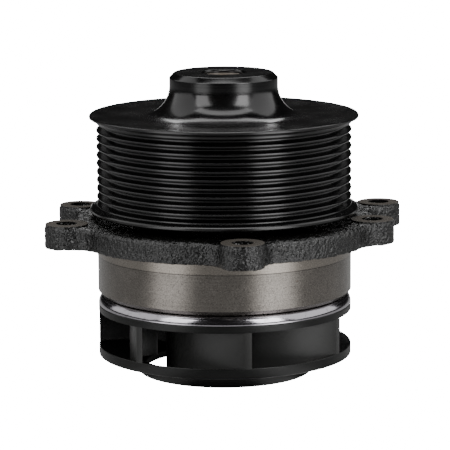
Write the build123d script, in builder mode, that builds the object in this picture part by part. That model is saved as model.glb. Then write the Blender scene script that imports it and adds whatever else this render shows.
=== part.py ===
from build123d import *
import os
from math import cos, exp, log, radians, sin, tan

# Engine coolant pump.  Z is the shaft axis, +Z points out of the engine towards the belt pulley.
# Z = 0 is the mounting face on the underside of the flange.  All lengths are in millimetres.

os.makedirs("parts", exist_ok=True)

# ---- driving dimensions ----

# flange and spigot of the housing
flange_radius = 64.2
flange_thickness = 8.8
flange_edge_round = 1.6
spigot_radius = 54.4
spigot_depth = 23.5
spigot_land_depth = 6.3        # short wider land next to the mounting face
spigot_land_step = 0.2
spigot_chamfer_width = 1.9
spigot_chamfer_height = 1.8

# bolt lugs: (angle from +X in degrees, distance of the hole outside the flange's rim)
lugs = [(-83.8, 4.1), (-12.1, 0.0), (24.1, 10.0), (90.0, 4.8), (156.3, 4.6), (197.3, 5.5)]
lug_radius = 9.0
lug_rise = 1.1                 # spot face above the cast plate
lug_blend = 9.0
lug_hole_radius = 4.5          # clearance for M8

# bearing boss, inside the pulley cup
boss_wall = 8.0
boss_draft = 3.0
boss_edge = 1.0
boss_rib_count = 6
boss_rib_width = 5.0
boss_rib_height = 18.0
boss_rib_toe = 2.0
boss_rib_gap = 5.6             # inside the pulley's rim
root_overlap = 1.0             # how far features start inside the metal they grow from

# cored pocket on the wet side
core_wall_inner = 3.0          # outside the seal pocket
core_wall_outer = 10.4         # inside the spigot's surface
core_depth = 14.0
core_rib_count = 6
core_rib_width = 6.0

# integral shaft bearing
shaft_radius = 9.5
bearing_height = 8.6           # lower end of the outer ring above the mounting face
race_gap = 5.9                 # between the shaft and the rollers' outer track
ring_wall = 3.6
ring_edge = 0.5
ball_radius = 3.95
ball_count = 8
ball_track_depth = 0.7
ball_drop = 10.4               # ball centres below the ring's upper end
roller_length = 10.0
roller_count = 10
roller_lift = 9.8              # middle of the rollers above the ring's lower end
bearing_seal_thickness = 2.6
bearing_seal_step = 0.9
seal_lip_width = 1.0
seal_lip_clearance = 0.05
rolling_clearance = 0.03
cage_clearance = 0.15
cage_wall = 1.2
cage_track_gap = 0.7
ball_cage_back = 1.5
retaining_ring_thickness = 1.5
retaining_ring_width = 3.0
retaining_ring_eye = 2.0
retaining_eye_hole = 0.9
retaining_ring_opening = 3.4
retaining_groove_depth = 1.3
retaining_groove_play = 0.1
retaining_groove_lip = 0.9     # metal above the groove

# shaft ends
pulley_seat_step = 0.5         # seats below the bearing's track radius
impeller_seat_step = 1.5
shaft_below_bearing = 3.6
shaft_shoulder_gap = 0.4       # shaft shoulder below the pulley hub
shaft_end_recess = 1.3         # shaft end below the top of the pulley hub
shaft_chamfer = 0.8
centre_hole_radius = 2.4
centre_hole_slope = 1.7

# drain space and weep hole
ring_shoulder = 4.0            # shoulder under the bearing's outer ring
weep_radius = 2.2
weep_angle = 57.0
slinger_gap = 0.8
slinger_seat = 0.6
slinger_thickness = 1.6

# mechanical seal; radii are set out from the impeller's seat on the shaft
seal_sheet = 0.8
seal_cup_bore_step = 3.0
seal_bore_step = 10.25
seal_bore_length = 13.1
seal_flange_width = 2.75
seal_pocket_width = 8.75
seal_pocket_depth = 6.6
bellows_step = 4.4
bellows_wall = 1.4
bellows_head = 1.7
bellows_cuff = 2.2
collar_step = 8.6
collar_thickness = 0.7
carbon_outer_step = 6.7
carbon_tail_step = 2.6
carbon_nose_step = 3.2
carbon_nose_inset = 1.3
carbon_head = 2.4
carbon_back_depth = 9.5        # below the floor of the seal cup
carbon_reach = 1.5             # below the mouth of the seal bore
seal_face_gap = 0.05
seat_inner_step = 2.4
seat_outer_step = 6.4
seat_thickness = 3.5
seat_rubber = 1.2
seat_rubber_drop = 0.5
spring_wire_radius = 0.55
spring_turns = 2.5
spring_clearance = 0.03

# belt pulley: multi-rib profile, pitch 3.56
pulley_gap = 2.15              # between the lugs' spot faces and the pulley
rib_pitch = 3.56
groove_count = 10
groove_depth = 2.9
groove_half_angle = 20.0
groove_root_width = 0.7
crest_radius = 54.5
rim_wall = 4.0
rim_land = 0.9                 # plain land under the lowest rib
rim_fillet = 3.0
lip_overhang = 3.0
lip_rise = 0.8                 # lip above the web
lip_thickness = 1.1
lip_flat = 1.6
lower_flange_overhang = 2.8
lower_flange_thickness = 2.0
flange_bevel = 0.6
lip_bevel = 0.4
web_above_crest = 2.15
web_thickness = 5.2
hub_radius = 23.2
hub_height = 18.5              # above the web
hub_chamfer = 2.1
hub_bore_chamfer = 0.6
hub_fillet = 11.0
hub_below_web = 0.6
hub_root = 3.0
hub_foot = 2.0
hub_gap = 1.3                  # between the bearing boss and the hub

# impeller
impeller_step = 0.1            # inside the spigot, so that the impeller passes the same bore
cover_gap = 0.5                # between the housing and the impeller's back cover
cover_thickness = 3.9
cover_shoulder = 3.9
back_plate_thickness = 3.0
back_plate_bevel = 0.4
passage_width = 14.8           # at the rim
front_rim_thickness = 4.4
shroud_wall_step = 0.6
shroud_slope = 17.0
shroud_bend_width = 3.0
shroud_bend_drop = 4.0
inlet_outer_radius = 37.2
inlet_wall = 3.0
inlet_length = 7.8             # inlet ring below the shroud's rim
inlet_collar = 2.6
insert_wall = 4.0
insert_recess = 1.0
hub_nose_wall = 1.6
hub_nose_drop = 11.0
hub_nose_flat = 1.0
hub_sweep = 11.0
vane_count = 7
vane_tip_angle = -130.7
vane_wrap = 55.0
vane_inner_radius = 31.0
vane_thickness = 1.8
vane_points = 7
vane_overrun = 0.08            # share of the spiral drawn past the rim, then trimmed
vane_trim = 4.0

# ---- sizes that follow ----

# heights from the flange up to the top of the pulley
pulley_bottom = flange_thickness + lug_rise + pulley_gap
lower_flange_top = pulley_bottom + lower_flange_thickness
last_crest = lower_flange_top + rim_land
first_crest = last_crest + groove_count * rib_pitch
web_top = first_crest + web_above_crest
web_bottom = web_top - web_thickness
lip_top = web_top + lip_rise
hub_top = web_top + hub_height
hub_bottom = web_bottom - hub_below_web
boss_top = hub_bottom - hub_gap
bearing_top = boss_top - retaining_groove_lip - retaining_ring_thickness
ring_bottom = bearing_height
weep_height = flange_thickness / 2
shaft_step_low = ring_bottom - shaft_below_bearing
shaft_step_high = hub_bottom - shaft_shoulder_gap
shaft_top = hub_top - shaft_end_recess

# radii of the bearing, the boss and the pulley
race_radius = shaft_radius + race_gap
ring_radius = race_radius + ring_wall
seal_seat_radius = race_radius + bearing_seal_step
boss_radius = ring_radius + boss_wall
drain_radius = ring_radius - ring_shoulder
slinger_radius = drain_radius - slinger_gap
pulley_seat_radius = shaft_radius - pulley_seat_step
impeller_seat_radius = shaft_radius - impeller_seat_step
ball_pitch_radius = shaft_radius - ball_track_depth + ball_radius
ball_z = bearing_top - ball_drop
roller_radius = (race_radius - shaft_radius) / 2 - rolling_clearance
roller_pitch_radius = (race_radius + shaft_radius) / 2
roller_z = ring_bottom + roller_lift
rim_inner = crest_radius - groove_depth - rim_wall
lip_radius = crest_radius + lip_overhang
lower_flange_radius = crest_radius + lower_flange_overhang
boss_rib_reach = rim_inner - boss_rib_gap

# seal
seal_mouth = seal_pocket_depth - spigot_depth
seal_bore_top = seal_mouth + seal_bore_length
seal_bore_radius = impeller_seat_radius + seal_bore_step
seal_flange_radius = seal_bore_radius + seal_flange_width
seal_pocket_radius = seal_bore_radius + seal_pocket_width
core_inner = seal_pocket_radius + core_wall_inner
core_outer = spigot_radius - core_wall_outer

# impeller, from the housing down
impeller_radius = spigot_radius - impeller_step
cover_top = -spigot_depth - cover_gap
cover_bottom = cover_top - cover_thickness
passage_top = cover_bottom - back_plate_thickness
passage_rim = passage_top - passage_width
front_rim_bottom = passage_rim - front_rim_thickness
inlet_bottom = front_rim_bottom - inlet_length
inlet_inner_radius = inlet_outer_radius - inlet_wall
insert_radius = impeller_seat_radius + insert_wall
hub_nose_radius = insert_radius + hub_nose_wall
hub_nose_bottom = passage_top - hub_nose_drop


def shroud_surface(radius):
    """Height of the wet face of the front shroud at a radius."""
    return passage_rim - (impeller_radius - radius) * tan(radians(shroud_slope))


def lug_centre(angle, outside):
    """Centre of a lug's hole on the mounting face."""
    reach = flange_radius + outside
    return Vector(reach * cos(radians(angle)), reach * sin(radians(angle)), 0)


def on_lug_corner(edge):
    """True for an upright edge where the side of a lug's arm meets the flange's rim."""
    foot = Vector(edge.center().X, edge.center().Y, 0)
    if abs(foot.length - flange_radius) > 0.01:
        return False
    offsets = [foot.cross(lug_centre(*lug).normalized()).length for lug in lugs]
    return any(abs(offset - lug_radius) < 0.01 for offset in offsets)


def ring_part(inner, outer, bottom, top):
    """A plain ring about the shaft axis."""
    with BuildPart() as ring:
        with BuildSketch(Plane.XY.offset(bottom)):
            Circle(outer)
            Circle(inner, mode=Mode.SUBTRACT)
        extrude(amount=top - bottom)
    return ring.part


def revolved(points):
    """A ring about the shaft axis from (radius, height) corners."""
    with BuildPart() as body:
        with BuildSketch(Plane.XZ):
            with BuildLine():
                Polyline(*points, close=True)
            make_face()
        revolve(axis=Axis.Z)
    return body.part


def save(part, name):
    part.label = name
    export_step(part, f"parts/{name}.step")


# ---- pump housing: flange, lugs, spigot and bearing boss in one casting ----

with BuildPart() as pump_housing:
    with BuildSketch():
        Circle(flange_radius)
        for angle, outside in lugs:
            centre = lug_centre(angle, outside)
            with Locations(centre):
                Circle(lug_radius)
            with Locations(Location(centre / 2, (0, 0, angle))):
                Rectangle(centre.length, 2 * lug_radius)
    extrude(amount=flange_thickness)
    # concave corners where a lug's arm leaves the round plate
    corners = pump_housing.edges().filter_by(Axis.Z).filter_by(on_lug_corner)
    fillet(corners, lug_blend)
    top_edges = pump_housing.faces().sort_by(Axis.Z)[-1].outer_wire().edges()
    fillet(top_edges, flange_edge_round)
    # raised lug bosses with machined tops
    for angle, outside in lugs:
        with BuildSketch():
            with Locations(lug_centre(angle, outside)):
                Circle(lug_radius)
        extrude(amount=flange_thickness + lug_rise)
    # drafted boss around the bearing, with gussets
    with BuildSketch(Plane.XZ):
        with BuildLine():
            Polyline(
                (0, flange_thickness - root_overlap),
                (boss_radius + boss_draft, flange_thickness - root_overlap),
                (boss_radius, boss_top - boss_edge),
                (boss_radius - boss_edge, boss_top),
                (0, boss_top),
                close=True,
            )
        make_face()
    revolve(axis=Axis.Z)
    for step in range(boss_rib_count):
        rib_plane = Plane.XZ.rotated((0, 0, 360 * (step + 0.5) / boss_rib_count))
        with BuildSketch(rib_plane):
            with BuildLine():
                Polyline(
                    (ring_radius + root_overlap, flange_thickness - root_overlap),
                    (boss_rib_reach, flange_thickness - root_overlap),
                    (boss_rib_reach, flange_thickness + boss_rib_toe),
                    (boss_radius, flange_thickness + boss_rib_height),
                    (ring_radius + root_overlap, flange_thickness + boss_rib_height),
                    close=True,
                )
            make_face()
        extrude(amount=boss_rib_width / 2, both=True)
    # spigot that drops into the engine, wider at its root and chamfered at its end
    with BuildSketch(Plane.XZ):
        with BuildLine():
            Polyline(
                (0, 0),
                (spigot_radius + spigot_land_step, 0),
                (spigot_radius + spigot_land_step, -spigot_land_depth),
                (spigot_radius, -spigot_land_depth),
                (spigot_radius, spigot_chamfer_height - spigot_depth),
                (spigot_radius - spigot_chamfer_width, -spigot_depth),
                (0, -spigot_depth),
                close=True,
            )
        make_face()
    revolve(axis=Axis.Z)
    # cored pockets between ribs on the wet side
    with BuildSketch(Plane.XY.offset(-spigot_depth)):
        Circle(core_outer)
        Circle(core_inner, mode=Mode.SUBTRACT)
        with PolarLocations(0, core_rib_count):
            with Locations((core_outer / 2, 0)):
                Rectangle(core_outer + 2 * root_overlap, core_rib_width, mode=Mode.SUBTRACT)
    extrude(amount=core_depth, mode=Mode.SUBTRACT)
    # stepped bore: seal pocket, seal bore, drain space, bearing bore, retaining ring groove
    with BuildSketch(Plane.XZ):
        with BuildLine():
            Polyline(
                (0, -spigot_depth - root_overlap),
                (seal_pocket_radius, -spigot_depth - root_overlap),
                (seal_pocket_radius, seal_mouth),
                (seal_bore_radius, seal_mouth),
                (seal_bore_radius, seal_bore_top),
                (drain_radius, seal_bore_top),
                (drain_radius, ring_bottom),
                (ring_radius, ring_bottom),
                (ring_radius, bearing_top),
                (ring_radius + retaining_groove_depth, bearing_top),
                (ring_radius + retaining_groove_depth, bearing_top + retaining_ring_thickness),
                (ring_radius, bearing_top + retaining_ring_thickness),
                (ring_radius, boss_top + root_overlap),
                (0, boss_top + root_overlap),
                close=True,
            )
        make_face()
    revolve(axis=Axis.Z, mode=Mode.SUBTRACT)
    # lug bolt holes
    for angle, outside in lugs:
        with BuildSketch(Plane.XY.offset(-root_overlap)):
            with Locations(lug_centre(angle, outside)):
                Circle(lug_hole_radius)
        extrude(amount=flange_thickness + lug_rise + 2 * root_overlap, mode=Mode.SUBTRACT)
    # weep drilling from the drain space to the rim of the flange
    weep_direction = Vector(cos(radians(weep_angle)), sin(radians(weep_angle)), 0)
    weep_start = weep_direction * (drain_radius - 2 * root_overlap) + Vector(0, 0, weep_height)
    weep_plane = Plane(origin=weep_start, z_dir=weep_direction)
    with BuildSketch(weep_plane):
        Circle(weep_radius)
    extrude(amount=flange_radius, mode=Mode.SUBTRACT)
save(pump_housing.part, "pump_housing")

# ---- belt pulley ----

groove_half_width = groove_root_width / 2 + groove_depth * tan(radians(groove_half_angle))
with BuildPart() as pulley:
    with BuildSketch(Plane.XZ):
        with BuildLine():
            bore_foot = (pulley_seat_radius, hub_bottom)
            fillet_high = (hub_radius, web_top + hub_fillet)
            fillet_low = (hub_radius + hub_fillet, web_top)
            Polyline(
                bore_foot,
                (pulley_seat_radius, hub_top - hub_bore_chamfer),
                (pulley_seat_radius + hub_bore_chamfer, hub_top),
                (hub_radius - hub_chamfer, hub_top),
                (hub_radius, hub_top - hub_chamfer),
                fillet_high,
            )
            RadiusArc(fillet_high, fillet_low, -hub_fillet)
            corner = (crest_radius, first_crest)
            Polyline(
                fillet_low,
                (rim_inner, web_top),
                (lip_radius - lip_flat, lip_top),
                (lip_radius - lip_bevel, lip_top),
                (lip_radius, lip_top - lip_bevel),
                (lip_radius, lip_top - lip_thickness),
                corner,
            )
            for groove in range(groove_count):
                middle = first_crest - (groove + 0.5) * rib_pitch
                mouth = (crest_radius, middle + groove_half_width)
                root_high = (crest_radius - groove_depth, middle + groove_root_width / 2)
                root_low = (crest_radius - groove_depth, middle - groove_root_width / 2)
                far_mouth = (crest_radius, middle - groove_half_width)
                Polyline(corner, mouth, root_high, root_low, far_mouth)
                corner = far_mouth
            Polyline(
                corner,
                (crest_radius, last_crest),
                (lower_flange_radius - flange_bevel, lower_flange_top),
                (lower_flange_radius, lower_flange_top - flange_bevel),
                (lower_flange_radius, pulley_bottom + flange_bevel),
                (lower_flange_radius - flange_bevel, pulley_bottom),
                (rim_inner, pulley_bottom),
                (rim_inner, web_bottom - rim_fillet),
                (rim_inner - rim_fillet, web_bottom),
                (hub_radius + hub_root, web_bottom),
                (hub_radius + hub_foot, hub_bottom),
                bore_foot,
            )
        make_face()
    revolve(axis=Axis.Z)
save(pulley.part, "pulley")

# ---- drive shaft with its ball track ----

with BuildPart() as drive_shaft:
    with BuildSketch(Plane.XZ):
        with BuildLine():
            Polyline(
                (0, hub_nose_bottom),
                (impeller_seat_radius - shaft_chamfer, hub_nose_bottom),
                (impeller_seat_radius, hub_nose_bottom + shaft_chamfer),
                (impeller_seat_radius, shaft_step_low),
                (shaft_radius, shaft_step_low),
                (shaft_radius, shaft_step_high),
                (pulley_seat_radius, shaft_step_high),
                (pulley_seat_radius, shaft_top - shaft_chamfer),
                (pulley_seat_radius - shaft_chamfer, shaft_top),
                (centre_hole_radius, shaft_top),
                (0, shaft_top - centre_hole_slope * centre_hole_radius),
                close=True,
            )
        make_face()
        with Locations((ball_pitch_radius, ball_z)):
            Circle(ball_radius + rolling_clearance, mode=Mode.SUBTRACT)
    revolve(axis=Axis.Z)
save(drive_shaft.part, "drive_shaft")

# ---- shaft bearing ----

with BuildPart() as bearing_outer_ring:
    with BuildSketch(Plane.XZ):
        with BuildLine():
            Polyline(
                (race_radius, ring_bottom + bearing_seal_thickness),
                (seal_seat_radius, ring_bottom + bearing_seal_thickness),
                (seal_seat_radius, ring_bottom),
                (ring_radius - ring_edge, ring_bottom),
                (ring_radius, ring_bottom + ring_edge),
                (ring_radius, bearing_top - ring_edge),
                (ring_radius - ring_edge, bearing_top),
                (seal_seat_radius, bearing_top),
                (seal_seat_radius, bearing_top - bearing_seal_thickness),
                (race_radius, bearing_top - bearing_seal_thickness),
                close=True,
            )
        make_face()
        with Locations((ball_pitch_radius, ball_z)):
            Circle(ball_radius + rolling_clearance, mode=Mode.SUBTRACT)
    revolve(axis=Axis.Z)
save(bearing_outer_ring.part, "bearing_outer_ring")


def bearing_seal(bottom, lip_side):
    """Seal ring in the end of the outer ring; lip_side is +1 when the deeper bevel faces up."""
    top = bottom + bearing_seal_thickness
    lip = shaft_radius + seal_lip_clearance
    middle = bottom + bearing_seal_thickness / 2
    shallow = (bearing_seal_thickness - seal_lip_width) / 3
    deep = bearing_seal_thickness - seal_lip_width
    bevel_low, bevel_high = (shallow, deep) if lip_side > 0 else (deep, shallow)
    return revolved(
        [
            (lip + bevel_low / 2, bottom),
            (seal_seat_radius, bottom),
            (seal_seat_radius, top),
            (lip + bevel_high / 2, top),
            (lip, middle + seal_lip_width / 2),
            (lip, middle - seal_lip_width / 2),
        ]
    )


save(bearing_seal(bearing_top - bearing_seal_thickness, 1), "front_bearing_seal")
save(bearing_seal(ring_bottom, -1), "rear_bearing_seal")

with BuildPart() as ball_row:
    with PolarLocations(ball_pitch_radius, ball_count):
        with Locations((0, 0, ball_z)):
            Sphere(ball_radius)
save(ball_row.part, "ball_row")

with BuildPart() as ball_cage:
    with BuildSketch(Plane.XY.offset(ball_z - ball_cage_back)):
        Circle(race_radius - cage_track_gap)
        Circle(shaft_radius + 2 * cage_track_gap, mode=Mode.SUBTRACT)
    extrude(amount=ball_cage_back + ball_radius + cage_clearance + cage_wall)
    with PolarLocations(ball_pitch_radius, ball_count):
        with Locations((0, 0, ball_z)):
            Sphere(ball_radius + cage_clearance, mode=Mode.SUBTRACT)
save(ball_cage.part, "ball_cage")

with BuildPart() as roller_row:
    with BuildSketch(Plane.XY.offset(roller_z - roller_length / 2)):
        with PolarLocations(roller_pitch_radius, roller_count):
            Circle(roller_radius)
    extrude(amount=roller_length)
save(roller_row.part, "roller_row")

with BuildPart() as roller_cage:
    with BuildSketch(Plane.XY.offset(roller_z - roller_length / 2 - cage_clearance - cage_wall)):
        Circle(roller_pitch_radius + cage_wall)
        Circle(roller_pitch_radius - cage_wall, mode=Mode.SUBTRACT)
    extrude(amount=roller_length + 2 * (cage_clearance + cage_wall))
    with BuildSketch(Plane.XY.offset(roller_z - roller_length / 2 - cage_clearance)):
        with PolarLocations(roller_pitch_radius, roller_count):
            Circle(roller_radius + cage_clearance)
    extrude(amount=roller_length + 2 * cage_clearance, mode=Mode.SUBTRACT)
save(roller_cage.part, "roller_cage")

# open snap ring with two eyes in the groove above the bearing
snap_outer = ring_radius + retaining_groove_depth - retaining_groove_play
with BuildPart() as bearing_retaining_ring:
    with BuildSketch(Plane.XY.offset(bearing_top)):
        Circle(snap_outer)
        Circle(snap_outer - retaining_ring_width, mode=Mode.SUBTRACT)
        with PolarLocations(snap_outer - retaining_ring_width, 2, start_angle=75, angular_range=30, endpoint=True):
            Circle(retaining_ring_eye)
            Circle(retaining_eye_hole, mode=Mode.SUBTRACT)
        with Locations((0, snap_outer)):
            Rectangle(retaining_ring_opening, 4 * retaining_ring_width, mode=Mode.SUBTRACT)
    extrude(amount=retaining_ring_thickness)
save(bearing_retaining_ring.part, "bearing_retaining_ring")

slinger_bottom = shaft_step_low + slinger_seat
save(
    ring_part(shaft_radius, slinger_radius, slinger_bottom, slinger_bottom + slinger_thickness),
    "shaft_slinger",
)

# ---- mechanical seal: fixed half in the housing, mating half on the shaft ----

cup_bore = impeller_seat_radius + seal_cup_bore_step
cup_inner = seal_bore_radius - seal_sheet
cup_floor = seal_bore_top - seal_sheet
save(
    revolved(
        [
            (cup_bore, seal_bore_top),
            (seal_bore_radius, seal_bore_top),
            (seal_bore_radius, seal_mouth),
            (seal_flange_radius, seal_mouth),
            (seal_flange_radius, seal_mouth - seal_sheet),
            (cup_inner, seal_mouth - seal_sheet),
            (cup_inner, cup_floor),
            (cup_bore, cup_floor),
        ]
    ),
    "seal_cup",
)

carbon_back = cup_floor - carbon_back_depth
carbon_outer = impeller_seat_radius + carbon_outer_step
bellows_inner = impeller_seat_radius + bellows_step
bellows_outer = bellows_inner + bellows_wall
collar_radius = impeller_seat_radius + collar_step
collar_bottom = carbon_back + seat_rubber
collar_top = collar_bottom + collar_thickness
save(
    revolved(
        [
            (bellows_inner, cup_floor),
            (cup_inner, cup_floor),
            (cup_inner, cup_floor - bellows_head),
            (bellows_outer, cup_floor - bellows_head),
            (bellows_outer, collar_bottom),
            (collar_radius, collar_bottom),
            (collar_radius, carbon_back - bellows_cuff),
            (carbon_outer, carbon_back - bellows_cuff),
            (carbon_outer, carbon_back),
            (bellows_inner, carbon_back),
        ]
    ),
    "seal_bellows",
)
save(ring_part(bellows_outer, collar_radius, collar_bottom, collar_top), "spring_collar")

carbon_tail = impeller_seat_radius + carbon_tail_step
carbon_nose = impeller_seat_radius + carbon_nose_step
carbon_step = carbon_back - carbon_head
carbon_face = seal_mouth - carbon_reach
save(
    revolved(
        [
            (carbon_tail, carbon_back),
            (carbon_outer, carbon_back),
            (carbon_outer, carbon_step),
            (carbon_outer - carbon_nose_inset, carbon_step),
            (carbon_outer - carbon_nose_inset, carbon_face),
            (carbon_nose, carbon_face),
            (carbon_nose, carbon_step),
            (carbon_tail, carbon_step),
        ]
    ),
    "carbon_ring",
)

spring_high = cup_floor - bellows_head - spring_wire_radius - spring_clearance
spring_low = collar_top + spring_wire_radius + spring_clearance
spring_mean_radius = (bellows_outer + collar_radius) / 2
with BuildPart() as seal_spring:
    with BuildLine() as coil:
        Helix(
            pitch=(spring_high - spring_low) / spring_turns,
            height=spring_high - spring_low,
            radius=spring_mean_radius,
            center=(0, 0, spring_low),
        )
    with BuildSketch(Plane(origin=coil.line @ 0, z_dir=coil.line % 0)):
        Circle(spring_wire_radius)
    sweep(path=coil.line, is_frenet=True)
save(seal_spring.part, "seal_spring")

seat_face = carbon_face - seal_face_gap
seat_back = seat_face - seat_thickness
seat_inner = impeller_seat_radius + seat_inner_step
seat_outer = impeller_seat_radius + seat_outer_step
save(ring_part(seat_inner, seat_outer, seat_back, seat_face), "mating_ring")
save(
    revolved(
        [
            (impeller_seat_radius, seat_face - seat_rubber_drop),
            (seat_inner, seat_face - seat_rubber_drop),
            (seat_inner, seat_back),
            (seat_outer, seat_back),
            (seat_outer, seat_back - seat_rubber),
            (impeller_seat_radius, seat_back - seat_rubber),
        ]
    ),
    "mating_ring_cup",
)

# ---- impeller: back cover, vane disc, front shroud and steel insert ----

insert_top = seat_back - seat_rubber
insert_bottom = hub_nose_bottom + insert_recess
save(
    revolved(
        [
            (impeller_seat_radius, insert_top),
            (insert_radius, insert_top),
            (insert_radius, insert_bottom),
            (impeller_seat_radius, insert_bottom),
        ]
    ),
    "impeller_insert",
)

with BuildPart() as impeller_back_cover:
    with BuildSketch(Plane.XZ):
        with BuildLine():
            shoulder_start = (impeller_radius - cover_shoulder, cover_top)
            shoulder_end = (impeller_radius, cover_bottom)
            Line((insert_radius, cover_top), shoulder_start)
            TangentArc(shoulder_start, shoulder_end, tangent=(1, 0))
            Line(shoulder_end, (insert_radius, cover_bottom))
            Line((insert_radius, cover_bottom), (insert_radius, cover_top))
        make_face()
    revolve(axis=Axis.Z)
save(impeller_back_cover.part, "impeller_back_cover")


def vane_side(side):
    """Points along one side of a vane in the XY plane, from its inner end past the rim."""
    growth = log(impeller_radius / vane_inner_radius)
    slope = radians(vane_wrap) / growth
    points = []
    for step in range(vane_points):
        share = (1 + vane_overrun) * step / (vane_points - 1)
        radius = vane_inner_radius * exp(growth * share)
        angle = radians(vane_tip_angle) - radians(vane_wrap) * (1 - share)
        # direction along the spiral, then its normal
        along = Vector(cos(angle) - slope * sin(angle), sin(angle) + slope * cos(angle), 0).normalized()
        across = Vector(-along.Y, along.X, 0)
        point = Vector(radius * cos(angle), radius * sin(angle), 0) + across * (side * vane_thickness / 2)
        points.append((point.X, point.Y))
    return points


vane_trim_radius = vane_inner_radius - vane_trim
with BuildPart() as vanes:
    with BuildSketch(Plane.XY.offset(inlet_bottom)):
        with BuildLine():
            left = Spline(*vane_side(1))
            right = Spline(*vane_side(-1))
            Line(left @ 0, right @ 0)
            Line(left @ 1, right @ 1)
        make_face()
    extrude(amount=passage_top - inlet_bottom + root_overlap)
    # keep only what lies in the space between the plate and the front shroud
    with BuildSketch(Plane.XZ):
        with BuildLine():
            Polyline(
                (vane_trim_radius, passage_top + root_overlap),
                (impeller_radius - 2 * root_overlap, passage_top + root_overlap),
                (impeller_radius - root_overlap, passage_top),
                (impeller_radius, passage_top),
                (impeller_radius, passage_rim),
                (vane_trim_radius, shroud_surface(vane_trim_radius)),
                close=True,
            )
        make_face()
    revolve(axis=Axis.Z, mode=Mode.INTERSECT)

with BuildPart() as impeller_vane_disc:
    with BuildSketch(Plane.XZ):
        with BuildLine():
            sweep_start = (hub_nose_radius, hub_nose_bottom + hub_nose_flat)
            sweep_end = (hub_nose_radius + hub_sweep, passage_top)
            Polyline(
                sweep_start,
                (hub_nose_radius, hub_nose_bottom),
                (insert_radius, hub_nose_bottom),
                (insert_radius, cover_bottom),
                (impeller_radius - back_plate_bevel, cover_bottom),
                (impeller_radius, cover_bottom - back_plate_bevel),
                (impeller_radius, passage_top),
                sweep_end,
            )
            TangentArc(sweep_end, sweep_start, tangent=(-1, 0))
        make_face()
    revolve(axis=Axis.Z)
    with PolarLocations(0, vane_count):
        add(vanes.part)
save(impeller_vane_disc.part, "impeller_vane_disc")

shroud_bend = inlet_inner_radius + shroud_bend_width
under_bend = inlet_outer_radius + shroud_bend_width
shroud_wall = front_rim_thickness - shroud_wall_step
with BuildPart() as impeller_front_shroud:
    with BuildSketch(Plane.XZ):
        with BuildLine():
            rim_high = (impeller_radius, passage_rim)
            bend_high = (shroud_bend, shroud_surface(shroud_bend))
            ring_high = (inlet_inner_radius, shroud_surface(shroud_bend) - shroud_bend_drop)
            ring_low = (inlet_inner_radius, inlet_bottom)
            ring_out_low = (inlet_outer_radius, inlet_bottom)
            ring_out_high = (inlet_outer_radius, inlet_bottom + inlet_collar)
            bend_low = (under_bend, shroud_surface(under_bend) - shroud_wall)
            rim_low = (impeller_radius, front_rim_bottom)
            slope_in = (-cos(radians(shroud_slope)), -sin(radians(shroud_slope)))
            Line(rim_high, bend_high)
            TangentArc(bend_high, ring_high, tangent=slope_in)
            Polyline(ring_high, ring_low, ring_out_low, ring_out_high, bend_low, rim_low, rim_high)
        make_face()
    revolve(axis=Axis.Z)
save(impeller_front_shroud.part, "impeller_front_shroud")
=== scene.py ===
from math import atan2, cos, exp, log, pi, radians, sin, sqrt, tan

import bmesh
import bpy
from mathutils import Matrix, Vector


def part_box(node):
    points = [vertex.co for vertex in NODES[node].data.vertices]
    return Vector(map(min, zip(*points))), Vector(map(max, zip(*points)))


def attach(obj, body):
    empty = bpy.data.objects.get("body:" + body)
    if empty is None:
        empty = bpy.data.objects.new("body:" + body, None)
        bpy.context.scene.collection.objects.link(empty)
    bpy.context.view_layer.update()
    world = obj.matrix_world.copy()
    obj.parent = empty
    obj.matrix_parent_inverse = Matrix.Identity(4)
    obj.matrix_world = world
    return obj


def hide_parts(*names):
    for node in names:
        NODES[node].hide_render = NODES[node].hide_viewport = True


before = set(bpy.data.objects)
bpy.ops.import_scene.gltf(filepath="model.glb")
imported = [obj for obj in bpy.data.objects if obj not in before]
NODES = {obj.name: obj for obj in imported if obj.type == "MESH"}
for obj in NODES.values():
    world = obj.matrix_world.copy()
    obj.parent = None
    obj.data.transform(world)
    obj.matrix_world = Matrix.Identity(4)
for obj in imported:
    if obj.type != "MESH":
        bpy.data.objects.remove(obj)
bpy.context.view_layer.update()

# Engine coolant pump.  Metres, Z up along the shaft, mounting face at Z = 0, pulley above it.
MM = 0.001


def box_mm(node):
    """Lowest and highest corner of a CAD node in millimetres."""
    low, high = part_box(node)
    return low / MM, high / MM


pulley_low, pulley_high = box_mm("pulley")
cover_low, cover_high = box_mm("impeller_back_cover")
shroud_low, shroud_high = box_mm("impeller_front_shroud")
disc_low, disc_high = box_mm("impeller_vane_disc")
insert_low, insert_high = box_mm("impeller_insert")
shaft_low, shaft_high = box_mm("drive_shaft")
floor_level = shroud_low.z
SPOT_FACE = 9.9
LAND_STEP = -6.3

# ---- camera: long lens, a little above the flange ----

CAMERA_DISTANCE = 1.2
CAMERA_ELEVATION = radians(10.154)
CAMERA_ROLL = radians(-0.323)
CAMERA_TARGET = Vector((0.27, 0.0, 5.1)) * MM
LENS = 223.6

back = Vector((0, -cos(CAMERA_ELEVATION), sin(CAMERA_ELEVATION)))
right = Vector((1, 0, 0))
up = back.cross(right)
right_rolled = cos(CAMERA_ROLL) * right + sin(CAMERA_ROLL) * up
up_rolled = -sin(CAMERA_ROLL) * right + cos(CAMERA_ROLL) * up
camera_data = bpy.data.cameras.new("camera")
camera_data.lens = LENS
camera_data.sensor_width = 36
camera_data.clip_end = 20
camera = bpy.data.objects.new("camera", camera_data)
axes = Matrix((right_rolled, up_rolled, back)).transposed()
camera.matrix_world = Matrix.Translation(CAMERA_TARGET + CAMERA_DISTANCE * back) @ axes.to_4x4()
bpy.context.scene.collection.objects.link(camera)
bpy.context.scene.camera = camera


# ---- helpers for node materials ----

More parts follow.
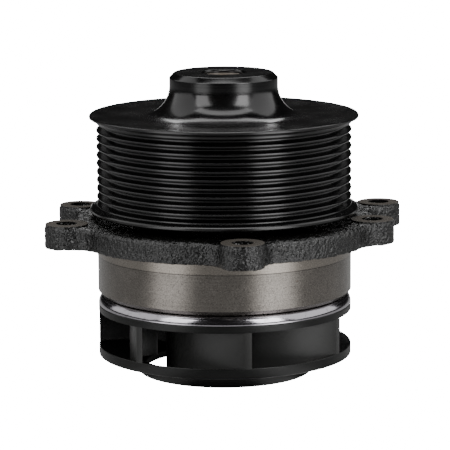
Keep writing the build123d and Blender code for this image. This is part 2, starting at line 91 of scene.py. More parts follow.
class Look:
    """A node material under construction."""

    def __init__(self, name, color, roughness, metallic=0.0, coat=0.0, coat_roughness=0.1, specular=0.5):
        self.material = bpy.data.materials.new(name)
        self.material.use_nodes = True
        self.material.diffuse_color = (*color, 1)
        self.tree = self.material.node_tree
        self.shader = self.tree.nodes["Principled BSDF"]
        self.shader.inputs["Base Color"].default_value = (*color, 1)
        self.shader.inputs["Roughness"].default_value = roughness
        self.shader.inputs["Metallic"].default_value = metallic
        self.shader.inputs["Coat Weight"].default_value = coat
        self.shader.inputs["Coat Roughness"].default_value = coat_roughness
        self.shader.inputs["Specular IOR Level"].default_value = specular
        self.coordinates = self.add("ShaderNodeTexCoord").outputs["Object"]
        self.height = None

    def add(self, kind, **settings):
        node = self.tree.nodes.new(kind)
        for key, value in settings.items():
            setattr(node, key, value)
        return node

    def link(self, source, target):
        self.tree.links.new(source, target)

    def math(self, operation, first, second=0.0):
        node = self.add("ShaderNodeMath", operation=operation)
        for socket, value in zip(node.inputs, (first, second)):
            if isinstance(value, (int, float)):
                socket.default_value = value
            else:
                self.link(value, socket)
        return node.outputs[0]

    def stretched(self, x, y, z):
        """Object coordinates scaled along each axis."""
        node = self.add("ShaderNodeVectorMath", operation="MULTIPLY")
        self.link(self.coordinates, node.inputs[0])
        node.inputs[1].default_value = (x, y, z)
        return node.outputs[0]

    def turned(self, radial, along):
        """Coordinates that are the same all round the axis: radius and height only, for turning marks."""
        split = self.add("ShaderNodeSeparateXYZ")
        self.link(self.coordinates, split.inputs[0])
        radius = self.math("SQRT", self.math("ADD", self.math("POWER", split.outputs[0], 2.0),
                                             self.math("POWER", split.outputs[1], 2.0)))
        join = self.add("ShaderNodeCombineXYZ")
        self.link(self.math("MULTIPLY", radius, radial), join.inputs[0])
        self.link(self.math("MULTIPLY", split.outputs[2], along), join.inputs[1])
        angle = self.math("ARCTAN2", split.outputs[1], split.outputs[0])
        self.link(self.math("SINE", angle), join.inputs[2])
        return join.outputs[0]

    def noise(self, size_mm, detail=3.0, roughness=0.5, vector=None, distortion=0.0):
        """Noise from 0 to 1 with features about size_mm across."""
        node = self.add("ShaderNodeTexNoise")
        node.inputs["Scale"].default_value = 1.0 if vector else 1.0 / (size_mm * MM)
        node.inputs["Detail"].default_value = detail
        node.inputs["Roughness"].default_value = roughness
        node.inputs["Distortion"].default_value = distortion
        self.link(vector or self.coordinates, node.inputs["Vector"])
        return node.outputs["Fac"]

    def cells(self, size_mm, feature="F1"):
        node = self.add("ShaderNodeTexVoronoi", feature=feature)
        node.inputs["Scale"].default_value = 1.0 / (size_mm * MM)
        self.link(self.coordinates, node.inputs["Vector"])
        return node.outputs["Distance"]

    def remap(self, value, low, high, to_low, to_high):
        node = self.add("ShaderNodeMapRange")
        for socket, number in zip(list(node.inputs)[1:5], (low, high, to_low, to_high)):
            socket.default_value = number
        self.link(value, node.inputs[0])
        return node.outputs[0]

    def mix(self, factor, first, second):
        """Colour mixed from two colours, or colour sockets, by a factor socket."""
        node = self.add("ShaderNodeMix", data_type="RGBA")
        self.link(factor, node.inputs[0])
        for socket, value in ((node.inputs[6], first), (node.inputs[7], second)):
            if isinstance(value, tuple):
                socket.default_value = (*value, 1)
            else:
                self.link(value, socket)
        return node.outputs[2]

    def color(self, socket):
        self.link(socket, self.shader.inputs["Base Color"])

    def roughness(self, socket):
        self.link(socket, self.shader.inputs["Roughness"])

    def bump(self, height, depth_mm, strength=1.0):
        """Adds a bump layer on top of the layers before it."""
        node = self.add("ShaderNodeBump")
        node.inputs["Strength"].default_value = strength
        node.inputs["Distance"].default_value = depth_mm * MM
        self.link(height, node.inputs["Height"])
        if self.height is not None:
            self.link(self.height, node.inputs["Normal"])
        self.height = node.outputs[0]
        self.link(self.height, self.shader.inputs["Normal"])


# ---- materials ----

def gloss_paint():
    """Black gloss paint over turned metal: faint turning marks, orange peel and a little dust."""
    look = Look("pulley_paint", (0.0012, 0.0012, 0.0013), 0.14, coat=0.12, coat_roughness=0.10, specular=0.45)
    marks = look.noise(1, 2.0, 0.6, vector=look.turned(1500, 1500))
    look.bump(marks, 0.02)
    look.bump(look.noise(1.4, 2.0), 0.015)
    dust = look.remap(look.cells(4.5), 0.03, 0.05, 1.0, 0.0)
    kept = look.math("MULTIPLY", dust, look.remap(look.noise(22), 0.52, 0.62, 0.0, 1.0))
    film = look.mix(look.remap(look.noise(11, 5.0, 0.65), 0.45, 0.75, 0.0, 1.0), (0.0008, 0.0008, 0.0009), (0.0030, 0.0028, 0.0026))
    look.color(look.mix(kept, film, (0.04, 0.037, 0.034)))
    look.roughness(look.remap(look.noise(14, 4.0), 0.3, 0.75, 0.15, 0.25))
    return look.material


def iron_color(look):
    """Colour of turned cast iron: warm grey with fine dark pores, cloudy patches and a few rust specks."""
    grain = look.noise(0.55, 3.0, 0.65)
    patches = look.remap(look.noise(15, 5.0, 0.6), 0.34, 0.68, 0.0, 1.0)
    base = look.mix(patches, (0.135, 0.124, 0.112), (0.185, 0.170, 0.154))
    pores = look.mix(look.remap(grain, 0.34, 0.52, 0.75, 0.0), base, (0.070, 0.064, 0.057))
    rust = look.math("MULTIPLY", look.remap(look.cells(5.5), 0.05, 0.09, 1.0, 0.0),
                     look.remap(look.noise(18), 0.52, 0.6, 0.0, 1.0))
    return look.mix(rust, pores, (0.07, 0.042, 0.022))


def paint_color(look):
    """Colour of thin black paint on a casting: bare grey crumbs stand through it here and there."""
    crumbs = look.remap(look.noise(0.8, 3.0, 0.6), 0.66, 0.74, 0.0, 1.0)
    tone = look.mix(look.remap(look.noise(7, 4.0), 0.35, 0.7, 0.0, 1.0), (0.0006, 0.0006, 0.0005), (0.0022, 0.0021, 0.0018))
    return look.mix(crumbs, tone, (0.024, 0.022, 0.019))


def rough_skin(look):
    """Height of the sand-cast surface."""
    lumps = look.math("MULTIPLY", look.noise(2.6, 2.0, 0.5), 0.6)
    return look.math("ADD", lumps, look.math("MULTIPLY", look.cells(1.0, "SMOOTH_F1"), 0.55))


def cast_paint():
    """Thin black paint over a rough iron casting."""
    look = Look("cast_paint", (0.003, 0.003, 0.0028), 0.18)
    look.color(paint_color(look))
    look.roughness(look.remap(look.noise(1.6), 0.3, 0.7, 0.15, 0.30))
    look.bump(rough_skin(look), 0.95)
    look.bump(look.noise(0.6, 2.0, 0.5), 0.22)
    return look.material


def housing_iron():
    """The housing casting: painted rough skin, with bare metal wherever it was machined."""
    look = Look("housing_iron", (0.22, 0.20, 0.18), 0.42)
    split = look.add("ShaderNodeSeparateXYZ")
    look.link(look.coordinates, split.inputs[0])
    height = split.outputs[2]
    below = look.remap(height, 0.02 * MM, 0.06 * MM, 1.0, 0.0)
    above = look.remap(height, SPOT_FACE * MM - 0.05 * MM, SPOT_FACE * MM - 0.03 * MM, 0.0, 1.0)
    low_boss = look.remap(height, (SPOT_FACE + 0.4) * MM, (SPOT_FACE + 0.5) * MM, 1.0, 0.0)
    bare = look.math("MAXIMUM", below, look.math("MULTIPLY", above, low_boss))
    # painted shade: a dark shadow line painted into the corner under the locating land
    step_shade_line = look.math("MULTIPLY", look.remap(height, (LAND_STEP - 0.32) * MM, (LAND_STEP - 0.2) * MM, 0.0, 1.0),
                      look.remap(height, (LAND_STEP - 0.04) * MM, (LAND_STEP + 0.04) * MM, 1.0, 0.0))
    land = look.remap(height, (LAND_STEP + 0.1) * MM, (LAND_STEP + 0.4) * MM, 0.0, 0.45)
    iron = look.mix(land, iron_color(look), (0.30, 0.27, 0.235))
    # painted shade: this darkens the iron colour along the step corner
    iron = look.mix(look.math("MULTIPLY", step_shade_line, 0.9), iron, (0.020, 0.017, 0.014))
    spot_face = look.math("MULTIPLY", above, low_boss)
    iron = look.mix(look.math("MULTIPLY", spot_face, 0.85), iron, (0.085, 0.076, 0.066))
    look.color(look.mix(bare, paint_color(look), iron))
    look.link(look.math("SUBTRACT", look.math("MULTIPLY", bare, 0.9), look.math("MULTIPLY", spot_face, 0.6)),
              look.shader.inputs["Metallic"])
    lines = look.noise(1, 3.0, 0.65, vector=look.turned(2600, 2600))
    look.roughness(look.remap(look.noise(0.8), 0.3, 0.7, 0.18, 0.28))
    look.bump(look.math("MULTIPLY", rough_skin(look), look.math("SUBTRACT", 1.0, bare)), 0.9)
    look.bump(look.math("MULTIPLY", lines, bare), 0.05)
    look.bump(look.math("MULTIPLY", look.noise(0.5, 3.0, 0.6), bare), 0.022)
    return look.material


def steel_end():
    """Machined shaft steel, browned by light rust at the open end."""
    return ground_steel("shaft_steel", (0.17, 0.14, 0.11), 0.30, stain=(0.07, 0.043, 0.028))


def gloss_plastic():
    """Glossy moulded black plastic with slight flow waves and fine scuffs."""
    look = Look("gloss_plastic", (0.36, 0.35, 0.37), 0.16, metallic=1.0)
    look.bump(look.noise(6, 3.0), 0.05)
    look.bump(look.noise(1.1, 3.0, 0.6), 0.006)
    scuff = look.noise(1, 4.0, 0.6, vector=look.turned(900, 900))
    look.roughness(look.remap(scuff, 0.35, 0.7, 0.10, 0.24))
    look.color(look.mix(look.remap(look.noise(3.0), 0.6, 0.75, 0.0, 1.0), (0.38, 0.365, 0.39), (0.24, 0.23, 0.24)))
    return look.material


def matt_plastic():
    """Glass-filled moulded plastic: fine grain, cloudy tone, paler worn edges."""
    look = Look("impeller_plastic", (0.002, 0.0022, 0.002), 0.36, specular=0.28)
    cloud = look.remap(look.noise(12, 4.0, 0.6), 0.3, 0.7, 0.0, 1.0)
    fibre = look.noise(0.9, 3.0, 0.7, distortion=1.2)
    tone = look.mix(cloud, (0.0012, 0.0014, 0.0012), (0.0028, 0.0030, 0.0028))
    speck = look.mix(look.remap(fibre, 0.62, 0.8, 0.0, 1.0), tone, (0.011, 0.0113, 0.0107))
    worn = look.add("ShaderNodeNewGeometry").outputs["Pointiness"]
    look.color(look.mix(look.remap(worn, 0.53, 0.6, 0.0, 0.6), speck, (0.04, 0.04, 0.039)))
    look.roughness(look.remap(fibre, 0.3, 0.75, 0.28, 0.40))
    look.bump(fibre, 0.04)
    return look.material


def ground_steel(name, color, roughness, stain=None):
    """Turned or ground steel with fine rings; an optional stain colour in patches."""
    look = Look(name, color, roughness, metallic=1.0)
    rings = look.noise(1, 3.0, 0.6, vector=look.turned(5200, 5200))
    dark = tuple(0.55 * channel for channel in color)
    base = look.mix(look.remap(rings, 0.35, 0.65, 0.0, 1.0), dark, color)
    if stain:
        base = look.mix(look.remap(look.noise(3.5, 5.0), 0.42, 0.62, 0.0, 1.0), base, stain)
    look.color(base)
    look.roughness(look.remap(rings, 0.3, 0.7, roughness * 0.8, roughness * 1.4))
    look.bump(rings, 0.01)
    return look.material


def rubber():
    look = Look("rubber", (0.018, 0.018, 0.018), 0.62)
    grain = look.noise(0.6, 3.0, 0.6)
    look.color(look.mix(look.remap(grain, 0.35, 0.7, 0.0, 1.0), (0.012, 0.012, 0.012), (0.03, 0.03, 0.03)))
    look.roughness(look.remap(grain, 0.3, 0.7, 0.55, 0.75))
    look.bump(grain, 0.03)
    return look.material


def lapped(name, color, roughness):
    """Lapped seal face: dense and even, with a very fine grain."""
    look = Look(name, color, roughness)
    grain = look.noise(0.3, 2.0, 0.6)
    pale = tuple(1.8 * channel for channel in color)
    look.color(look.mix(look.remap(grain, 0.4, 0.7, 0.0, 1.0), color, pale))
    look.roughness(look.remap(grain, 0.3, 0.7, roughness * 0.8, roughness * 1.2))
    look.bump(grain, 0.008)
    return look.material


def nylon():
    look = Look("cage_nylon", (0.42, 0.37, 0.28), 0.45)
    look.shader.inputs["Subsurface Weight"].default_value = 0.1
    cloud = look.noise(3.0, 3.0)
    look.color(look.mix(look.remap(cloud, 0.3, 0.7, 0.0, 1.0), (0.38, 0.33, 0.24), (0.48, 0.43, 0.33)))
    look.bump(look.noise(0.5, 2.0), 0.015)
    return look.material


LOOKS = {
    "pulley_paint": gloss_paint(),
    "cast_paint": cast_paint(),
    "housing_iron": housing_iron(),
    "gloss_plastic": gloss_plastic(),
    "impeller_plastic": matt_plastic(),
    "shaft_steel": steel_end(),
    "bearing_steel": ground_steel("bearing_steel", (0.56, 0.56, 0.57), 0.22),
    "ball_steel": ground_steel("ball_steel", (0.72, 0.72, 0.73), 0.08),
    "spring_steel": ground_steel("spring_steel", (0.36, 0.36, 0.37), 0.34),
    "stainless": ground_steel("stainless_sheet", (0.60, 0.60, 0.60), 0.26),
    "rubber": rubber(),
    "carbon": lapped("carbon", (0.022, 0.022, 0.023), 0.30),
    "carbide": lapped("silicon_carbide", (0.075, 0.076, 0.08), 0.16),
    "nylon": nylon(),
}

CAD_LOOKS = {
    "pump_housing": "housing_iron",
    "drive_shaft": "shaft_steel",
    "bearing_outer_ring": "bearing_steel",
    "ball_row": "ball_steel",
    "roller_row": "ball_steel",
    "ball_cage": "nylon",
    "roller_cage": "nylon",
    "front_bearing_seal": "rubber",
    "rear_bearing_seal": "rubber",
    "bearing_retaining_ring": "spring_steel",
    "shaft_slinger": "rubber",
    "seal_cup": "stainless",
    "seal_bellows": "rubber",
    "seal_spring": "spring_steel",
    "spring_collar": "stainless",
    "carbon_ring": "carbon",
    "mating_ring": "carbide",
    "mating_ring_cup": "rubber",
    "impeller_insert": "shaft_steel",
    "pulley": "pulley_paint",
    "impeller_back_cover": "gloss_plastic",
    "impeller_vane_disc": "impeller_plastic",
    "impeller_front_shroud": "impeller_plastic",
}
for node_name, look_name in CAD_LOOKS.items():
    for material_slot in NODES[node_name].material_slots:
        material_slot.material = LOOKS[look_name]


# ---- helpers for meshes ----

def add_piece(name, mesh, look, body, replaces=None, sharp_degrees=32):
    """Links a mesh as a piece that rides on a body."""
    piece = bpy.data.objects.new(name, mesh)
    bpy.context.scene.collection.objects.link(piece)
    mesh.materials.clear()
    mesh.materials.append(LOOKS[look])
    mesh.shade_smooth()
    mesh.set_sharp_from_angle(angle=radians(sharp_degrees))
    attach(piece, body)
    if replaces:
        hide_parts(replaces)
    return piece


def rounded(corners, steps=4):
    """Closed outline from (radius, height, rounding) corners; each rounding becomes an arc of a few steps."""
    outline = []
    count = len(corners)
    for i, (r, z, rounding) in enumerate(corners):
        here = Vector((r, z))
        before = Vector(corners[i - 1][:2]) - here
        after = Vector(corners[(i + 1) % count][:2]) - here
        if rounding <= 0:
            outline.append(here)
            continue
        a, b = before.normalized(), after.normalized()
        half = a.angle(b) / 2
        share = 0.97 if rounding > 5 else 0.49
        reach = min(rounding / tan(half), share * before.length, share * after.length)
        radius = reach * tan(half)
        centre = here + (a + b).normalized() * (radius / sin(half))
        start = here + a * reach - centre
        turn = start.angle_signed(here + b * reach - centre)
        pieces = max(steps, round(2 * radius))
        for step in range(pieces + 1):
            angle = -turn * step / pieces
            outline.append(centre + Vector((start.x * cos(angle) - start.y * sin(angle),
                                            start.x * sin(angle) + start.y * cos(angle))))
    return outline


def lathe(name, outline, segments=240):
    """Closed ring made by turning a closed (radius, height) outline in millimetres about Z."""
    mesh = bpy.data.meshes.new(name)
    build = bmesh.new()
    rings = []
    for step in range(segments):
        angle = 2 * pi * step / segments
        rings.append([build.verts.new((p[0] * cos(angle) * MM, p[0] * sin(angle) * MM, p[1] * MM)) for p in outline])
    for step in range(segments):
        ring, following = rings[step], rings[(step + 1) % segments]
        for i in range(len(outline)):
            j = (i + 1) % len(outline)
            build.faces.new((ring[i], ring[j], following[j], following[i]))
    bmesh.ops.recalc_face_normals(build, faces=build.faces)
    build.to_mesh(mesh)
    build.free()
    return mesh


def settled(piece):
    """Mesh of a scratch object with its modifiers applied; the scratch object is removed."""
    graph = bpy.context.evaluated_depsgraph_get()
    mesh = bpy.data.meshes.new_from_object(piece.evaluated_get(graph))
    bpy.data.objects.remove(piece)
    return mesh


def scratch(name, mesh):
    piece = bpy.data.objects.new(name, mesh)
    bpy.context.scene.collection.objects.link(piece)
    return piece


# ---- pulley ----

RIB_PITCH = 3.56
GROOVES = 10
GROOVE_DEPTH = 2.9
GROOVE_HALF_ANGLE = radians(20)
GROOVE_ROOT = 0.7
CREST_RADIUS = 54.5
FIRST_CREST = 50.55
RIM_INNER = CREST_RADIUS - GROOVE_DEPTH - 4.0
LIP_RADIUS = pulley_high.x
LIP_TOP = 53.5
LOWER_FLANGE_RADIUS = 57.3
WEB_TOP = 52.7
WEB_UNDER = 47.5
HUB_UNDER = 46.9
HUB_RADIUS = 23.2
HUB_TOP = pulley_high.z
HUB_BORE = 9.0
HUB_FILLET = 13.0


def pulley_outline():
    half_mouth = GROOVE_ROOT / 2 + GROOVE_DEPTH * tan(GROOVE_HALF_ANGLE)
    corners = [
        (HUB_BORE, HUB_UNDER, 0),
        (HUB_BORE, HUB_TOP - 0.6, 0.1),
        (HUB_BORE + 0.6, HUB_TOP, 0.2),
        (HUB_RADIUS - 2.1, HUB_TOP, 0.5),
        (HUB_RADIUS, HUB_TOP - 2.1, 0.5),
    ]
    outline_tail = [
        (LIP_RADIUS - 1.9, LIP_TOP - 0.05, 1.2),
        (LIP_RADIUS - 0.35, LIP_TOP, 0.25),
        (LIP_RADIUS, LIP_TOP - 0.35, 0.25),
        (LIP_RADIUS, LIP_TOP - 1.15, 0.3),
        (CREST_RADIUS + 0.1, FIRST_CREST + 0.6, 0.6),
        (CREST_RADIUS, FIRST_CREST, 0.2),
    ]
    corners += [(HUB_RADIUS, WEB_TOP, HUB_FILLET), (RIM_INNER, WEB_TOP, 4.0)] + outline_tail
    for groove in range(GROOVES):
        middle = FIRST_CREST - (groove + 0.5) * RIB_PITCH
        corners += [
            (CREST_RADIUS, middle + half_mouth, 0.40),
            (CREST_RADIUS - GROOVE_DEPTH, middle + GROOVE_ROOT / 2, 0.3),
            (CREST_RADIUS - GROOVE_DEPTH, middle - GROOVE_ROOT / 2, 0.3),
            (CREST_RADIUS, middle - half_mouth, 0.40),
        ]
    last_crest = FIRST_CREST - GROOVES * RIB_PITCH
    bottom = pulley_low.z
    corners += [
        (CREST_RADIUS, last_crest, 0.3),
        (LOWER_FLANGE_RADIUS - 0.5, bottom + 2.0, 0.4),
        (LOWER_FLANGE_RADIUS, bottom + 1.5, 0.4),
        (LOWER_FLANGE_RADIUS, bottom + 0.6, 0.4),
        (LOWER_FLANGE_RADIUS - 0.6, bottom, 0.3),
        (RIM_INNER, bottom, 0.4),
        (RIM_INNER, WEB_UNDER, 3.5),
        (HUB_RADIUS + 3, WEB_UNDER, 1.0),
        (HUB_RADIUS + 2, HUB_UNDER, 0.3),
    ]
    return rounded(corners, steps=5)


add_piece("pulley_body", lathe("pulley_body", pulley_outline(), 320), "pulley_paint", "rotor",
          replaces="pulley", sharp_degrees=50)

# ---- rough casting of the flange: the CAD flange cut out, rounded and roughened ----

FLANGE_RADIUS = 64.2
SPIGOT_RADIUS = 54.6
LUGS = [(-83.8, 68.3), (-12.1, 64.2), (24.1, 74.2), (90.0, 69.0), (156.3, 68.8), (197.3, 69.7)]
LUG_HOLE_CLEAR = 6.8
SKIN_BOTTOM = -0.15
SKIN_TOP = 9.1
SKIN_SWELL = 0.35


def cloud_texture(name, size_mm, depth):
    texture = bpy.data.textures.new(name, "CLOUDS")
    texture.noise_scale = size_mm * MM
    texture.noise_depth = depth
    texture.noise_basis = "BLENDER_ORIGINAL"
    return texture


def casting_mesh():
    housing = bmesh.new()
    housing.from_mesh(NODES["pump_housing"].data)
    bmesh.ops.remove_doubles(housing, verts=housing.verts, dist=1e-6)
    copy = bpy.data.meshes.new("flange_copy")
    housing.to_mesh(copy)
    housing.free()
    work = scratch("flange_copy", copy)
    ring = scratch("flange_keep", lathe("flange_keep", [(SPIGOT_RADIUS - 6, SKIN_BOTTOM), (90, SKIN_BOTTOM),
                                                        (90, SKIN_TOP), (SPIGOT_RADIUS - 6, SKIN_TOP)], 180))
    keep = work.modifiers.new("keep", "BOOLEAN")
    keep.operation = "INTERSECT"
    keep.solver = "EXACT"
    keep.object = ring
    drills = []
    for index, (angle, reach) in enumerate(LUGS):
        drill = bmesh.new()
        place = Matrix.Translation((reach * cos(radians(angle)) * MM, reach * sin(radians(angle)) * MM, 5 * MM))
        bmesh.ops.create_cone(drill, cap_ends=True, segments=40, radius1=LUG_HOLE_CLEAR * MM,
                              radius2=LUG_HOLE_CLEAR * MM, depth=20 * MM, matrix=place)
        mesh = bpy.data.meshes.new(f"drill_{index}")
        drill.to_mesh(mesh)
        drill.free()
        drills.append(scratch(f"drill_{index}", mesh))
        cut = work.modifiers.new(f"drill_{index}", "BOOLEAN")
        cut.operation = "DIFFERENCE"
        cut.solver = "EXACT"
        cut.object = drills[-1]
    remesh = work.modifiers.new("remesh", "REMESH")
    remesh.mode = "VOXEL"
    remesh.voxel_size = 0.55 * MM
    soften = work.modifiers.new("soften", "SMOOTH")
    soften.factor = 0.5
    soften.iterations = 4
    swell = work.modifiers.new("swell", "DISPLACE")
    swell.strength = SKIN_SWELL * MM
    swell.mid_level = 0
    for label, size, strength, middle in (("waves", 8.0, 0.45, 0.5), ("lumps", 2.0, 0.45, 0.5), ("grit", 1.1, 0.35, 0.5)):
        rough = work.modifiers.new(label, "DISPLACE")
        rough.texture = cloud_texture(label, size, 2)
        rough.texture_coords = "LOCAL"
        rough.strength = strength * MM
        rough.mid_level = middle
    mesh = settled(work)
    for tool in [ring] + drills:
        bpy.data.objects.remove(tool)
    return mesh


add_piece("flange_casting", casting_mesh(), "cast_paint", "housing", sharp_degrees=180)

# ---- impeller ----

IMPELLER_RADIUS = 54.3
VANES = 7
VANE_TIP_ANGLE = radians(-131.1)
VANE_WRAP = radians(64)
VANE_INNER = 30.5
VANE_THICKNESS = 1.5
PASSAGE_TOP = shroud_high.z + 14.8
PASSAGE_RIM = shroud_high.z
SHROUD_SLOPE = radians(17)
INLET_OUTER = 37.2
INLET_INNER = 34.2


def shroud_surface(radius):
    return PASSAGE_RIM - (IMPELLER_RADIUS - radius) * tan(SHROUD_SLOPE)


def cover_outline():
    """Disc with a round glossy shoulder and a short upright edge."""
    top, bottom = cover_high.z, cover_low.z
    steep, flat = radians(4), radians(52)
    radius = (top - bottom - 0.5) / (sin(flat) - sin(steep))
    centre = Vector((IMPELLER_RADIUS - radius * cos(steep), top - radius * sin(flat)))
    points = [Vector((insert_high.x, bottom)), Vector((insert_high.x, top))]
    for step in range(17):
        angle = flat + (steep - flat) * step / 16
        points.append(centre + Vector((cos(angle), sin(angle))) * radius)
    points += [Vector((IMPELLER_RADIUS, bottom + 0.2)), Vector((IMPELLER_RADIUS - 0.3, bottom))]
    return points


def vane_side(side, share):
    """Point on one side of a vane; share runs from 0 at the inner end to about 1 at the rim."""
    growth = log(IMPELLER_RADIUS / VANE_INNER)
    slope = VANE_WRAP / growth
    radius = VANE_INNER * exp(growth * share)
    angle = VANE_TIP_ANGLE - VANE_WRAP * (1 - share)
    along = Vector((cos(angle) - slope * sin(angle), sin(angle) + slope * cos(angle))).normalized()
    # the leading edge is thinned to a rounded nose
    half = VANE_THICKNESS / 2 * min(1.0, 0.45 + 3.2 * sqrt(max(share, 0)))
    return Vector((radius * cos(angle), radius * sin(angle))) + Vector((-along.y, along.x)) * (side * half)


def rim_share(side):
    """Where one side of a vane reaches the rim."""
    low, high = 0.8, 1.2
    for _ in range(30):
        middle = (low + high) / 2
        if vane_side(side, middle).length < IMPELLER_RADIUS - 0.05:
            low = middle
        else:
            high = middle
    return low


def vane_outline():
    steps = 24
    left_end, right_end = rim_share(1), rim_share(-1)
    left = [vane_side(1, left_end * (step / steps) ** 1.3) for step in range(steps + 1)]
    right = [vane_side(-1, right_end * (step / steps) ** 1.3) for step in range(steps + 1)]
    return left + right[::-1]


def vane_disc_mesh():
    bottom = insert_low.z - 1.0
    nose = 13.6
    outline = rounded([
        (insert_high.x, disc_high.z, 0), (insert_high.x, bottom, 0), (nose, bottom, 0.6),
        (nose, PASSAGE_TOP, 10.5), (IMPELLER_RADIUS, PASSAGE_TOP, 0.3), (IMPELLER_RADIUS, disc_high.z, 0.4),
    ], steps=8)
    mesh = lathe("vane_disc", outline, 280)
    build = bmesh.new()
    build.from_mesh(mesh)
    points = vane_outline()
    for vane in range(VANES):
        turn = Matrix.Rotation(2 * pi * vane / VANES, 3, "Z")
        low, high = [], []
        for point in points:
            depth = shroud_surface(point.length) - 0.4
            low.append(build.verts.new(turn @ Vector((point.x, point.y, depth)) * MM))
            high.append(build.verts.new(turn @ Vector((point.x, point.y, PASSAGE_TOP + 0.8)) * MM))
        count = len(points)
        sides = [build.faces.new((low[i], low[(i + 1) % count], high[(i + 1) % count], high[i])) for i in range(count)]
        half = count // 2
        for i in range(half - 1):
            build.faces.new((low[i], low[count - 1 - i], low[count - 2 - i], low[i + 1]))
            build.faces.new((high[i + 1], high[count - 2 - i], high[count - 1 - i], high[i]))
        edges = [edge for face in (sides[half - 1], sides[-1]) for edge in face.edges
                 if abs(edge.verts[0].co.z - edge.verts[1].co.z) > 2 * MM]
        bmesh.ops.bevel(build, geom=edges, offset=0.25 * MM, segments=3, profile=0.5, affect="EDGES")
    bmesh.ops.recalc_face_normals(build, faces=build.faces)
    build.to_mesh(mesh)
    build.free()
    return mesh


def shroud_outline():
    bend = INLET_INNER + 3
    under = INLET_OUTER + 3
    wall = shroud_high.z - (shroud_low.z + 7.8) - 0.6
    return rounded([
        (IMPELLER_RADIUS, shroud_high.z, 0.35),
        (bend, shroud_surface(bend), 4.0),
        (INLET_INNER, shroud_surface(bend) - 4.0, 1.5),
        (INLET_INNER, shroud_low.z, 0.4),
        (INLET_OUTER, shroud_low.z, 0.4),
        (INLET_OUTER, shroud_low.z + 3.4, 0.15),
        (INLET_OUTER - 0.25, shroud_low.z + 3.6, 0),
        (INLET_OUTER - 0.25, shroud_surface(under) - wall - 0.6, 0.8),
        (under, shroud_surface(under) - wall, 0.8),
        (IMPELLER_RADIUS, shroud_low.z + 7.8, 0.4),
    ], steps=5)


add_piece("impeller_cover", lathe("impeller_cover", cover_outline(), 320), "gloss_plastic", "rotor",
          replaces="impeller_back_cover", sharp_degrees=40)
add_piece("impeller_vanes", vane_disc_mesh(), "impeller_plastic", "rotor",
          replaces="impeller_vane_disc", sharp_degrees=35)
add_piece("impeller_shroud", lathe("impeller_shroud", shroud_outline(), 320), "impeller_plastic", "rotor",
          replaces="impeller_front_shroud", sharp_degrees=40)

# ---- floor, light ----

WHITE = 20.0


def stage_strength(tree, lit):
    """Emission strength: plain white where the camera sees it, and lit where it lights the object."""
    path = tree.nodes.new("ShaderNodeLightPath")
    glow = tree.nodes.new("ShaderNodeMix")
    tree.links.new(path.outputs["Is Camera Ray"], glow.inputs[0])
    glow.inputs[3].default_value = WHITE
    if isinstance(lit, float):
        glow.inputs[2].default_value = lit
    else:
        tree.links.new(lit, glow.inputs[2])
    return glow.outputs[0]


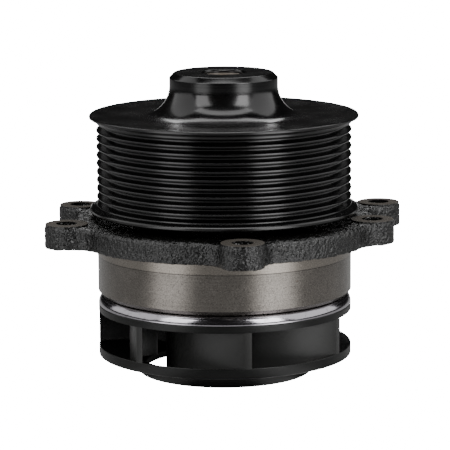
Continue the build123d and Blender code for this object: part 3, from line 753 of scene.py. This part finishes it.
def floor_material():
    """Pale floor, darker in front of the object than behind it, as a studio sweep lit from the back."""
    material = bpy.data.materials.new("floor_white")
    material.use_nodes = True
    tree = material.node_tree
    shader = tree.nodes["Principled BSDF"]
    shader.inputs["Base Color"].default_value = (0.25, 0.25, 0.25, 1)
    shader.inputs["Roughness"].default_value = 0.9
    place = tree.nodes.new("ShaderNodeTexCoord")
    split = tree.nodes.new("ShaderNodeSeparateXYZ")
    tree.links.new(place.outputs["Object"], split.inputs[0])

    def ramp(value, low, high, to_low, to_high):
        node = tree.nodes.new("ShaderNodeMapRange")
        node.interpolation_type = "SMOOTHSTEP"
        for socket, number in zip(list(node.inputs)[1:5], (low, high, to_low, to_high)):
            socket.default_value = number
        tree.links.new(value, node.inputs[0])
        return node.outputs[0]

    def combine(operation, first, second):
        node = tree.nodes.new("ShaderNodeMath")
        node.operation = operation
        for socket, value in zip(node.inputs, (first, second)):
            if isinstance(value, float):
                socket.default_value = value
            else:
                tree.links.new(value, socket)
        return node.outputs[0]

    # azimuth as the softboxes have it: 0 on the camera's side, positive to the right
    azimuth = combine("ARCTAN2", split.outputs[0], combine("MULTIPLY", split.outputs[1], -1.0))
    reach = combine("SQRT", combine("ADD", combine("POWER", split.outputs[0], 2.0),
                                    combine("POWER", split.outputs[1], 2.0)), 0.0)
    spread = combine("MULTIPLY", ramp(reach, 0.08, 0.22, 0.4, 1.0), ramp(reach, 0.56, 0.74, 1.0, 1.1))
    glow = ramp(combine("ABSOLUTE", azimuth, 0.0), radians(158), radians(172), FLOOR_FRONT, FLOOR_BACK)
    for middle, half, strength in FLOOR_POOLS:
        away = combine("ABSOLUTE", combine("SUBTRACT", azimuth, radians(middle)), 0.0)
        pool = combine("MULTIPLY", spread, ramp(away, radians(half + 9), radians(half - 9), 0.0, strength))
        glow = combine("ADD", glow, pool)
    shader.inputs["Emission Color"].default_value = (1, 1, 1, 1)
    tree.links.new(stage_strength(tree, glow), shader.inputs["Emission Strength"])
    return material


FLOOR_FRONT = 0.05
FLOOR_BACK = 1.0
FLOOR_POOLS = [(-46, 15, 1.9), (42, 14, 3.4)]
floor_mesh = bpy.data.meshes.new("floor")
floor_build = bmesh.new()
bmesh.ops.create_circle(floor_build, cap_ends=True, segments=64, radius=6.0)
floor_build.to_mesh(floor_mesh)
floor_build.free()
floor = bpy.data.objects.new("floor", floor_mesh)
floor.location.z = floor_level * MM
floor_mesh.materials.append(floor_material())
bpy.context.scene.collection.objects.link(floor)

world = bpy.data.worlds.new("world")
world.use_nodes = True
bpy.context.scene.world = world
sky = world.node_tree.nodes["Background"]
sky.inputs["Color"].default_value = (1, 1, 1, 1)
world.node_tree.links.new(stage_strength(world.node_tree, 0.012), sky.inputs["Strength"])


def softbox(name, azimuth, elevation, distance, width, height, radiance):
    """Rectangular light that faces the object; azimuth 0 is the camera's side and positive is to the right."""
    data = bpy.data.lights.new(name, "AREA")
    data.shape = "RECTANGLE"
    data.size = width
    data.size_y = height
    data.energy = radiance * pi * width * height
    light = bpy.data.objects.new(name, data)
    azimuth, elevation = radians(azimuth), radians(elevation)
    toward = Vector((sin(azimuth) * cos(elevation), -cos(azimuth) * cos(elevation), sin(elevation)))
    light.matrix_world = Matrix.Translation(toward * distance) @ toward.to_track_quat("Z", "Y").to_matrix().to_4x4()
    light.visible_camera = False
    bpy.context.scene.collection.objects.link(light)


softbox("left_core", -46, 27, 1.0, 0.46, 0.66, 4.4)
softbox("left_side", -95, 32, 1.0, 1.15, 1.05, 1.2)
softbox("right_core", 41, 27, 1.0, 0.42, 0.66, 7.6)
softbox("right_side", 92, 32, 1.0, 1.15, 1.05, 1.5)
softbox("front_top", 0, 74, 1.1, 1.5, 0.34, 4.0)
softbox("rear_top", 180, 56, 1.15, 0.7, 0.9, 4.5)
